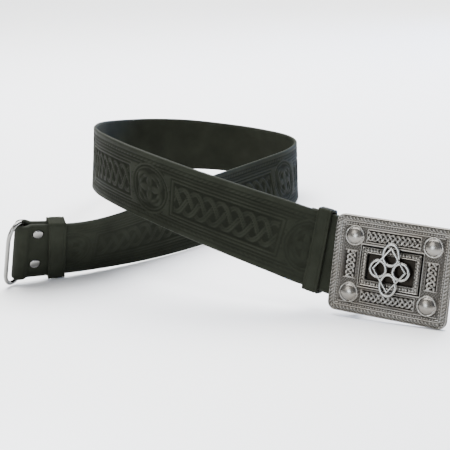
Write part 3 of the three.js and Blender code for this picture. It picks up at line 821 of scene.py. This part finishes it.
def strap_section():
    """Closed section of the leather: places across and up, and how far each is cut edge."""
    outer_steps, inner_steps = 64, 6
    low, high = EDGE_ROUNDING, STRAP_WIDTH - EDGE_ROUNDING
    up_face = np.linspace(low, high, outer_steps)
    inner_face = np.linspace(high - EDGE_ROUNDING, low + EDGE_ROUNDING, inner_steps)
    down_face = np.concatenate([[high], inner_face, [low]])
    across = [np.full_like(up_face, -HALF_LEATHER)]
    height = [up_face]
    edge = [np.zeros_like(up_face)]

    def corner(centre_across, centre_height, start):
        angle = np.radians(start - np.array([30.0, 60.0, 90.0]))
        across.append(centre_across + EDGE_ROUNDING * np.cos(angle))
        height.append(centre_height + EDGE_ROUNDING * np.sin(angle))
        edge.append(np.array([0.5, 1.0, 1.0]))

    side = HALF_LEATHER - EDGE_ROUNDING
    corner(-side, high, 180)
    corner(side, high, 90)
    across.append(np.full_like(down_face, HALF_LEATHER))
    height.append(down_face)
    edge.append(np.zeros_like(down_face))
    corner(side, low, 0)
    corner(-side, low, -90)
    across, height, edge = (np.concatenate(v) for v in (across, height, edge))
    close = np.append(np.arange(len(across)), 0)
    return across[close], height[close], edge[close]


def rounded_loop(low, high, bottom, top, corner, corner_steps, side_steps):
    """Points and outward directions round a rounded rectangle, closed on its first point."""
    points, normals = [], []
    centres = [
        (high - corner, bottom + corner, -90),
        (high - corner, top - corner, 0),
        (low + corner, top - corner, 90),
        (low + corner, bottom + corner, 180),
    ]
    for k, (x, y, start) in enumerate(centres):
        angle = np.radians(np.linspace(start, start + 90, corner_steps))
        normal = np.stack([np.cos(angle), np.sin(angle)], axis=1)
        points.append(np.array([x, y]) + corner * normal)
        normals.append(normal)
        following = centres[(k + 1) % 4]
        end_angle = math.radians(start + 90)
        end = points[-1][-1]
        begin = np.array(following[:2]) + corner * np.array([math.cos(end_angle), math.sin(end_angle)])
        steps = np.linspace(0, 1, side_steps + 1)[1:-1, None]
        points.append(end + (begin - end) * steps)
        normals.append(np.repeat(normal[-1:], len(steps), axis=0))
    points, normals = np.concatenate(points), np.concatenate(normals)
    close = np.append(np.arange(len(points)), 0)
    return points[close], normals[close]


class KILTBELT_OT_keepers(bpy.types.Operator):
    """Two narrow leather keepers round both layers of the strap"""

    bl_idname = "kiltbelt.keepers"
    bl_label = "Keepers"

    def execute(self, context):
        material = shared("plain_leather", leather_material, settings_of(context), False)
        for node, keeper in KEEPERS.items():
            piece = make_keeper(f"leather_{node}", **keeper)
            finish_piece(piece, node, "strap", material)
        return {"FINISHED"}


def make_keeper(name, at, length, tilt):
    """One keeper: a creased band swept round both layers of leather."""
    middle = KEEPER_GAP + KEEPER_WALL / 2
    loop, outward = rounded_loop(
        -HALF_LEATHER - middle,
        LAYER_STEP + HALF_LEATHER + middle,
        -middle,
        STRAP_WIDTH + middle,
        corner=1.7,
        corner_steps=7,
        side_steps=14,
    )
    section, _ = rounded_loop(
        -length / 2,
        length / 2,
        -KEEPER_WALL / 2,
        KEEPER_WALL / 2,
        corner=0.75,
        corner_steps=5,
        side_steps=20,
    )
    across = section[:, 0]
    thick = section[:, 1]
    crease = CREASE_DEPTH * ridge(np.abs(across) - (length / 2 - CREASE_INSET), CREASE_HALF)
    thick = np.where(thick > KEEPER_WALL / 4, thick - crease, thick)
    offset = loop[:, :1] + outward[:, :1] * thick[None, :]
    height = loop[:, 1:] + outward[:, 1:] * thick[None, :]
    skew = math.tan(math.radians(tilt)) * (height - STRAP_WIDTH / 2)
    along = at + length / 2 + across[None, :] - skew
    points = strap_points(along, offset, height)
    return grid_piece(name, in_model(points), around_rows=True, around_columns=True)


class KILTBELT_OT_rivets(bpy.types.Operator):
    """Domed rivets with their shanks and flat backs"""

    bl_idname = "kiltbelt.rivets"
    bl_label = "Rivets"

    def execute(self, context):
        material = polished_metal(settings_of(context))
        for node, share in RIVET_HEIGHTS.items():
            placement = strap_placement(RIVET_AT, 0, share * STRAP_WIDTH)
            piece = make_rivet(node.replace("_rivet", "_domed_rivet"), placement)
            finish_piece(piece, node, "strap", material)
        return {"FINISHED"}


def make_rivet(name, placement):
    """One rivet: half a ball for its cap, a shank and a flat back."""
    seat = HALF_LEATHER + RIVET_CAP_GAP
    back = -LAYER_STEP - HALF_LEATHER - RIVET_BACK_GAP
    deselect()
    bpy.ops.mesh.primitive_uv_sphere_add(segments=40, ring_count=24, radius=1)
    cap = bpy.context.object
    bpy.ops.object.mode_set(mode="EDIT")
    bpy.ops.mesh.select_all(action="SELECT")
    bpy.ops.mesh.bisect(plane_co=(0, 0, 0), plane_no=(0, 0, 1), clear_inner=True, use_fill=True)
    bpy.ops.object.mode_set(mode="OBJECT")
    cap.scale = Vector((RIVET_CAP_RADIUS, RIVET_CAP_RADIUS, RIVET_CAP_HEIGHT)) * MM
    cap.location.z = seat * MM
    bpy.ops.object.transform_apply(location=True, rotation=False, scale=True)
    bpy.ops.object.shade_smooth_by_angle(angle=math.radians(50))
    shank = cylinder(24, RIVET_SHANK_RADIUS, seat - back, (0, 0, (seat + back) / 2))
    disc_middle = back - RIVET_BACK_THICKNESS / 2
    disc = cylinder(40, RIVET_BACK_RADIUS, RIVET_BACK_THICKNESS, (0, 0, disc_middle))
    bevelled(disc, RIVET_BACK_ROUNDING * MM)
    return place_mesh(join_pieces(name, [cap, shank, disc]), placement)


class KILTBELT_OT_ring(bpy.types.Operator):
    """Bent wire ring in the tail's fold"""

    bl_idname = "kiltbelt.ring"
    bl_label = "Ring"

    def execute(self, context):
        finish_piece(make_ring(), "ring", "ring", polished_metal(settings_of(context)))
        return {"FINISHED"}


def ring_course():
    """Even steps round the wire's middle line: a straight bar, two elbows and a shallow bow."""
    half = RING_LENGTH / 2
    shoulder_up = RING_SHOULDER_STRETCH * RING_SHOULDER
    bow = RING_DEPTH - RING_SHOULDER
    corners = [
        ((RING_ELBOW, -half + RING_ELBOW), (RING_ELBOW, RING_ELBOW), 180),
        ((bow, -half + shoulder_up), (RING_SHOULDER, shoulder_up), 270),
        ((bow, half - shoulder_up), (RING_SHOULDER, shoulder_up), 0),
        ((RING_ELBOW, half - RING_ELBOW), (RING_ELBOW, RING_ELBOW), 90),
    ]
    corner_steps = 12
    course = []
    for (x, y), (wide, tall), start in corners:
        angle = np.radians(np.linspace(start, start + 90, corner_steps))
        course.append(np.stack([x + wide * np.cos(angle), y + tall * np.sin(angle)], axis=1))
    course = np.concatenate([*course, course[0][:1]])
    length = np.concatenate([[0], np.cumsum(np.linalg.norm(np.diff(course, axis=0), axis=1))])
    even = np.linspace(0, length[-1], RING_STEPS + 1)
    return np.stack([np.interp(even, length, course[:, k]) for k in (0, 1)], axis=1)


def make_ring():
    """Wire swept round the ring's course and set in the tail's fold."""
    course = ring_course()
    tangent = np.roll(course[:-1], -1, axis=0) - np.roll(course[:-1], 1, axis=0)
    tangent = np.concatenate([tangent, tangent[:1]])
    tangent /= np.linalg.norm(tangent, axis=1)[:, None]
    angle = np.linspace(0, 2 * math.pi, WIRE_SIDES + 1)
    out = RING_RADIUS * np.cos(angle)[None, :]
    points = np.stack(
        [
            course[:, :1] + tangent[:, 1:] * out,
            course[:, 1:] - tangent[:, :1] * out,
            np.broadcast_to(RING_RADIUS * np.sin(angle)[None, :], (len(course), len(angle))),
        ],
        axis=2,
    )
    points[-1] = points[0]
    points[:, -1] = points[:, 0]
    piece = grid_piece("wire_ring", points * MM, around_rows=True, around_columns=True)
    _, forward, up, across = (Vector(v[0]) for v in strap_frames(np.array([RING_AT])))
    swing = math.radians(RING_SWING)
    outward = -forward * math.cos(swing) + across * math.sin(swing)
    spot = Vector(in_model(strap_points(RING_AT, RING_OFFSET, STRAP_WIDTH / 2)))
    axes = Matrix((outward, up, outward.cross(up))).transposed().to_4x4()
    return place_mesh(piece, Matrix.Translation(spot) @ axes)


# Buckle


def plate_inset(x, y):
    """Distance in from the plate's rounded outline."""
    corner_x = np.abs(x) - (PLATE_WIDTH / 2 - PLATE_CORNER)
    corner_y = np.abs(y) - (PLATE_HEIGHT / 2 - PLATE_CORNER)
    outside = np.hypot(np.maximum(corner_x, 0), np.maximum(corner_y, 0))
    inside = np.minimum(np.maximum(corner_x, corner_y), 0)
    return PLATE_CORNER - outside - inside


def crested(height, crest):
    """Surface with a crest laid on it wherever the crest has any height."""
    return np.where(crest > 0, np.maximum(height, crest), height)


def row_crest(inset, row):
    """Crest of one row of relief, from its distance in, half width and height."""
    place, half, rise = row
    return rise * ridge(inset - place, half)


def border_relief(height, x, y):
    """Rim, rope row, beads and two fine lines along the plate's edge."""
    inset = plate_inset(x, y)
    at_side = np.abs(x) * PLATE_HEIGHT > np.abs(y) * PLATE_WIDTH
    around = np.where(at_side, y * np.sign(x), -x * np.sign(y))
    outer_slope, inner_slope, rim_rise = 0.6, 0.3, 0.95
    twist_pitch, bead_pitch = 2.7, 2
    rim = np.clip(inset / outer_slope, 0, 1) * np.clip((RIM_WIDTH - inset) / inner_slope, 0, 1)
    height = crested(height, rim_rise * np.sqrt(rim))
    twist = beaded(around + 0.9 * (inset - ROPE_ROW[0]), twist_pitch)
    height = crested(height, row_crest(inset, ROPE_ROW) * twist)
    height = crested(height, row_crest(inset, OUTER_LINE))
    height = crested(height, row_crest(inset, BEAD_ROW) * beaded(around, bead_pitch))
    return crested(height, row_crest(inset, INNER_LINE))


def plaited_panel(height, along, across, half_length):
    """One sunk panel with a line round it and a plait in it."""
    inset = np.minimum(half_length - np.abs(along), PANEL_HALF - np.abs(across))
    height = np.where(inset > 0, -PANEL_SINK, height)
    height = crested(height, row_crest(inset, PANEL_LINE))
    return crested(height, braid(along, across, **PANEL_PLAIT) * (inset > PANEL_MARGIN))


def panel_relief(height, x, y):
    """Panels on the four sides of the middle frame."""
    panel_x = (FRAME_HALF[0] + PLATE_WIDTH / 2 - PANEL_INSET) / 2
    panel_y = (FRAME_HALF[1] + PLATE_HEIGHT / 2 - PANEL_INSET) / 2
    for sign in (-1, 1):
        height = plaited_panel(height, y, x - sign * panel_x, SIDE_PANEL_HALF)
        height = plaited_panel(height, x, y - sign * panel_y, END_PANEL_HALF)
    return height


def frame_relief(height, x, y):
    """Beaded frame about the plate's sunk middle, with a fine line outside it."""
    from_side, from_end = FRAME_HALF[0] - np.abs(x), FRAME_HALF[1] - np.abs(y)
    inset = np.minimum(from_side, from_end)
    around = np.where(from_side < from_end, y, x)
    slope, line_inset, line_half, bead_half, bead_pitch = 0.4, 0.6, 0.55, 1.3, 2.4
    wall = np.clip(inset / slope, 0, 1) * np.clip((FRAME_BAR - inset) / slope, 0, 1)
    lines = np.maximum(ridge(inset - line_inset, line_half), ridge(inset - FRAME_BAR + line_inset, line_half))
    beads = ridge(inset - FRAME_BAR / 2, bead_half) * beaded(around, bead_pitch)
    crown = RECESS_DEPTH + FRAME_RISE * (0.1 + 0.9 * np.maximum(lines, beads))
    height = np.where(inset > 0, crown * wall - RECESS_DEPTH, height)
    return crested(height, row_crest(inset, FRAME_LINE))


def stud_relief(height, x, y):
    """Domed stud with a ring round it in each corner."""
    for stud_x, stud_y in STUD_PLACES:
        radius = np.hypot(x - stud_x, y - stud_y)
        height = np.where(radius < STUD_RADIUS + STUD_CLEARING, np.minimum(height, 0), height)
        height = crested(height, row_crest(radius - STUD_RADIUS, STUD_RING))
        dome = np.sqrt(np.clip(1 - (radius / STUD_RADIUS) ** 2, 0, 1))
        height = np.where(radius < STUD_RADIUS, STUD_FOOT + (STUD_HEIGHT - STUD_FOOT) * dome, height)
    return height


def cast_relief(x, y):
    """Height of the cast front over the plate's face, in millimetres."""
    pebble_rise, turn_x, turn_y = 0.18, 3.1, 2.7
    field = plate_inset(x, y) > INNER_LINE[0]
    height = pebble_rise * np.sin(turn_x * x) * np.sin(turn_y * y) * field
    for relief in (border_relief, panel_relief, frame_relief, stud_relief):
        height = relief(height, x, y)
    return height


def cast_plate():
    """Plate with its relief in front and a plain flat back."""
    columns, rows = 210, 178
    across = np.linspace(-PLATE_WIDTH / 2, PLATE_WIDTH / 2, columns)
    up = np.linspace(-PLATE_HEIGHT / 2, PLATE_HEIGHT / 2, rows)
    x, y = np.meshgrid(across, up, indexing="ij")
    u = np.maximum(np.abs(x) - (PLATE_WIDTH / 2 - PLATE_CORNER), 0) / PLATE_CORNER
    v = np.maximum(np.abs(y) - (PLATE_HEIGHT / 2 - PLATE_CORNER), 0) / PLATE_CORNER
    round_x = np.sign(x) * PLATE_CORNER * u * (np.sqrt(1 - v**2 / 2) - 1)
    round_y = np.sign(y) * PLATE_CORNER * v * (np.sqrt(1 - u**2 / 2) - 1)
    x, y = x + round_x, y + round_y
    height = cast_relief(x, y)
    mask = smooth_step(height, *TARNISH_HEIGHTS)
    points = np.stack([x, y, height], axis=2) * MM
    plate = grid_piece("cast_plate", points, values={"relief": mask})
    bpy.ops.object.mode_set(mode="EDIT")
    bpy.ops.mesh.select_all(action="DESELECT")
    bpy.ops.mesh.select_mode(type="EDGE")
    bpy.ops.mesh.select_non_manifold()
    for _ in range(2):
        bpy.ops.mesh.extrude_region_move(TRANSFORM_OT_translate={"value": (0, 0, -PLATE_THICKNESS / 2 * MM)})
    bpy.ops.transform.resize(value=(1, 1, 0), center_override=(0, 0, -PLATE_THICKNESS * MM))
    bpy.ops.mesh.edge_face_add()
    bpy.ops.mesh.select_mode(type="VERT")
    bpy.ops.mesh.select_all(action="SELECT")
    bpy.ops.mesh.normals_make_consistent(inside=False)
    bpy.ops.object.mode_set(mode="OBJECT")
    bpy.ops.object.shade_smooth_by_angle(angle=math.radians(75))
    return plate


class KILTBELT_OT_buckle(bpy.types.Operator):
    """Cast buckle plate with its bar, lugs and hook"""

    bl_idname = "kiltbelt.buckle"
    bl_label = "Buckle"

    def execute(self, context):
        material = shared("aged_cast_metal", metal_material, settings_of(context), True, 0.27)
        piece = join_pieces("cast_buckle", [cast_plate(), *bar_pieces(), *hook_pieces()])
        polish_back(piece)
        place_mesh(piece, buckle_placement())
        finish_piece(piece, "buckle", "buckle", material)
        return {"FINISHED"}


def bar_pieces():
    """Two lugs behind the plate and the bar between them."""
    lug_y = STRAP_WIDTH / 2 + LUG_GAP + LUG_WIDTH / 2
    depth = -PLATE_THICKNESS - BAR_Z + BAR_RADIUS
    lug_z = BAR_Z - BAR_RADIUS + (depth + CAST_SINK) / 2
    size = (LUG_LENGTH, LUG_WIDTH, depth + CAST_SINK)
    lugs = [rounded_box("lug", size, (BAR_X, y, lug_z), CAST_ROUNDING) for y in (-lug_y, lug_y)]
    bar = cylinder(28, BAR_RADIUS, 2 * lug_y, (BAR_X, 0, BAR_Z), rotation=(math.pi / 2, 0, 0))
    bpy.ops.object.shade_smooth_by_angle(angle=math.radians(40))
    return [*lugs, bar]


def polish_back(piece):
    """Marks all that lies behind the cast front as half polished metal."""
    half_polished = 0.55
    mesh = piece.data
    layer = mesh.attributes["relief"]
    relief = np.empty(len(mesh.vertices), np.float32)
    layer.data.foreach_get("value", relief)
    relief[point_places(mesh)[:, 2] < -(RECESS_DEPTH + 0.1) * MM] = half_polished
    layer.data.foreach_set("value", relief)


def hook_pieces():
    """Plain hook on the back: a post and a lip that points towards the bar."""
    from_bar, width, gap, reach, thick = 50, 12, 9.4, 8, 2.2
    lip_overlap = 0.3
    hook_x = BAR_X + from_bar
    depth = gap + thick
    post_z = -PLATE_THICKNESS - (depth - CAST_SINK) / 2
    lip_x = hook_x - reach / 2 + lip_overlap
    lip_z = -PLATE_THICKNESS - gap - thick / 2
    return [
        rounded_box("hook_post", (thick, width, depth + CAST_SINK), (hook_x, 0, post_z), CAST_ROUNDING),
        rounded_box("hook_lip", (reach, width, thick), (lip_x, 0, lip_z), CAST_ROUNDING),
    ]


class KILTBELT_OT_badge(bpy.types.Operator):
    """Raised knot on the middle of the buckle"""

    bl_idname = "kiltbelt.badge"
    bl_label = "Badge"

    def execute(self, context):
        across, up, lobe, band = 15.5, 19.5, 7, 2.4
        long_lobe = 1.25 * lobe
        diamond = (0.86 * across, 0.86 * up)
        seat = FRAME_RISE + 0.25
        lift = 0.35
        pieces = [
            badge_loop(40, (across - lobe, 0), (lobe, lobe), band, seat),
            badge_loop(40, (lobe - across, 0), (lobe, lobe), band, seat),
            badge_loop(40, (0, up - long_lobe), (lobe, long_lobe), band, seat),
            badge_loop(40, (0, long_lobe - up), (lobe, long_lobe), band, seat),
            badge_loop(4, (0, 0), diamond, band, seat + lift),
        ]
        piece = place_mesh(join_pieces("knot_badge", pieces), buckle_placement())
        finish_piece(piece, "buckle_badge", "buckle", polished_metal(settings_of(context)))
        return {"FINISHED"}


def badge_loop(count, centre, size, band, seat):
    """One closed strand of the knot: an oval, or a diamond when it has four sides."""
    flattening, bury = 0.7, 0.75
    deselect()
    bpy.ops.mesh.primitive_torus_add(
        major_segments=count,
        minor_segments=14,
        major_radius=1,
        minor_radius=0.5 * band / max(size),
    )
    loop = bpy.context.object
    mesh = loop.data
    co = point_places(mesh)
    angle = np.arctan2(co[:, 1], co[:, 0])
    out = (np.hypot(co[:, 0], co[:, 1]) - 1) * max(size)
    up = co[:, 2] * max(size)
    inner = (size[0] - band / 2, size[1] - band / 2)
    co[:, 0] = centre[0] + (inner[0] + out) * np.cos(angle)
    co[:, 1] = centre[1] + (inner[1] + out) * np.sin(angle)
    co[:, 2] = seat + np.maximum(up * flattening + bury, 0)
    mesh.vertices.foreach_set("co", (co * MM).astype(np.float32).ravel())
    mesh.update()
    if count > 4:
        bpy.ops.object.shade_smooth()
    else:
        bpy.ops.object.shade_smooth_by_angle(angle=math.radians(40))
    return loop


# Stage

CAMERA_PITCH = 15.02
CAMERA_HEIGHT = 281.1
CAMERA_ROLL = -2.81
CAMERA_LENS = 92.0
COURSE_START = (-175.6, -152.8)


class KILTBELT_OT_stage(bpy.types.Operator):
    """Pale floor, soft studio lights and the camera"""

    bl_idname = "kiltbelt.stage"
    bl_label = "Stage"

    def execute(self, context):
        settings = settings_of(context)
        make_camera(context.scene)
        make_floor(settings)
        make_lights(context.scene, settings.light_power)
        make_surroundings(context.scene)
        return {"FINISHED"}


def make_camera(scene):
    """Camera at the photograph's place, pitch and roll."""
    pitch = math.radians(CAMERA_PITCH)
    roll = math.radians(CAMERA_ROLL)
    data = bpy.data.cameras.new("camera")
    data.lens = CAMERA_LENS
    data.sensor_width = 36
    data.clip_end = 100
    camera = bpy.data.objects.new("camera", data)
    scene.collection.objects.link(camera)
    right = Vector((1, 0, 0))
    ahead = Vector((0, math.cos(pitch), -math.sin(pitch)))
    above = right.cross(ahead)
    turned_right = right * math.cos(roll) + above * math.sin(roll)
    turned_above = above * math.cos(roll) - right * math.sin(roll)
    axes = Matrix((turned_right, turned_above, -ahead)).transposed().to_4x4()
    eye = Vector((0, -CAMERA_HEIGHT / math.tan(pitch), CAMERA_HEIGHT))
    start = Vector((*COURSE_START, 0))
    camera.matrix_world = Matrix.Translation((eye - start + Vector(SHIFT)) * MM) @ axes
    scene.camera = camera


def make_floor(settings):
    """Wide matt floor under the belt."""
    deselect()
    bpy.ops.mesh.primitive_plane_add(size=80)
    floor = bpy.context.object
    floor.name = "floor"
    material = bpy.data.materials.new("pale_floor")
    material.use_nodes = True
    tree = material.node_tree
    inputs = {"Base Color": (*settings.floor_colour, 1), "Roughness": 0.8, "Specular IOR Level": 0.1}
    feed(tree, tree.nodes["Principled BSDF"], inputs)
    floor.data.materials.append(material)


def area_light(scene, name, place, target, size, power, colour):
    """Soft light at a place, turned towards its target."""
    data = bpy.data.lights.new(name, "AREA")
    data.shape = "RECTANGLE"
    data.size, data.size_y = size
    data.energy = power
    data.color = colour
    lamp = bpy.data.objects.new(name, data)
    lamp.location = place
    direction = Vector(target) - Vector(place)
    lamp.rotation_euler = direction.to_track_quat("-Z", "Y").to_euler()
    scene.collection.objects.link(lamp)


def make_lights(scene, power):
    """Main light overhead, and the others at shares of its power."""
    belt = (0, 0, 0.05)
    lights = (
        ("overhead", (0.1, 0.5, 1.7), belt, (2.4, 2.4), 1, (1, 1, 1)),
        ("far_floor", (0, 3.4, 3), (0, 3.4, 0), (6, 4), 3, (1, 1, 1)),
        ("front_left", (-1.3, -1.2, 1.1), belt, (0.9, 0.9), 0.1, (1, 0.98, 0.95)),
        ("cool_right", (1.3, 1.5, 0.5), belt, (0.8, 0.8), 0.2, (0.2, 0.4, 1)),
        ("buckle_sheen", (-0.2, -0.56, 0.12), (0.16, -0.24, 0.04), (0.12, 0.12), 0.006, (0.8, 0.9, 1)),
    )
    for name, place, target, size, share, colour in lights:
        area_light(scene, name, place, target, size, share * power, colour)


def make_surroundings(scene):
    """Pale surroundings that turn to a cool blue on the right."""
    world = bpy.data.worlds.new("studio")
    world.use_nodes = True
    tree = world.node_tree
    direction = add_node(tree, "TexCoord", {}).outputs["Generated"]
    right = add_node(tree, "SeparateXYZ", {0: direction}).outputs["X"]
    to_right = add_node(tree, "MapRange", {"Value": right, "From Min": 0.25, "From Max": 0.85})
    colour = colour_mix(tree, to_right.outputs["Result"], (0.97, 0.98, 1), (0.2, 0.32, 0.55))
    feed(tree, tree.nodes["Background"], {"Color": colour, "Strength": 0.65})
    scene.world = world


class KILTBELT_PT_panel(bpy.types.Panel):
    """Lists the belt's settings and pieces"""

    bl_idname = "KILTBELT_PT_panel"
    bl_label = "Kilt belt"
    bl_space_type = "VIEW_3D"
    bl_region_type = "UI"
    bl_category = "Kilt belt"

    def draw(self, context):
        settings = settings_of(context)
        for name in settings.__annotations__:
            self.layout.prop(settings, name)
        for operator in OPERATORS:
            self.layout.operator(operator.bl_idname)


OPERATORS = (
    KILTBELT_OT_stage,
    KILTBELT_OT_strap,
    KILTBELT_OT_keepers,
    KILTBELT_OT_rivets,
    KILTBELT_OT_ring,
    KILTBELT_OT_buckle,
    KILTBELT_OT_badge,
)
CLASSES = (KiltBeltSettings, *OPERATORS, KILTBELT_PT_panel)


def register():
    for cls in CLASSES:
        bpy.utils.register_class(cls)
    bpy.types.Scene.kilt_belt = bpy.props.PointerProperty(type=KiltBeltSettings)


def unregister():
    del bpy.types.Scene.kilt_belt
    for cls in reversed(CLASSES):
        bpy.utils.unregister_class(cls)


def main():
    register()
    bpy.ops.kiltbelt.stage()
    bpy.ops.kiltbelt.strap()
    bpy.ops.kiltbelt.keepers()
    bpy.ops.kiltbelt.rivets()
    bpy.ops.kiltbelt.ring()
    bpy.ops.kiltbelt.buckle()
    bpy.ops.kiltbelt.badge()


if __name__ == "__main__":
    main()
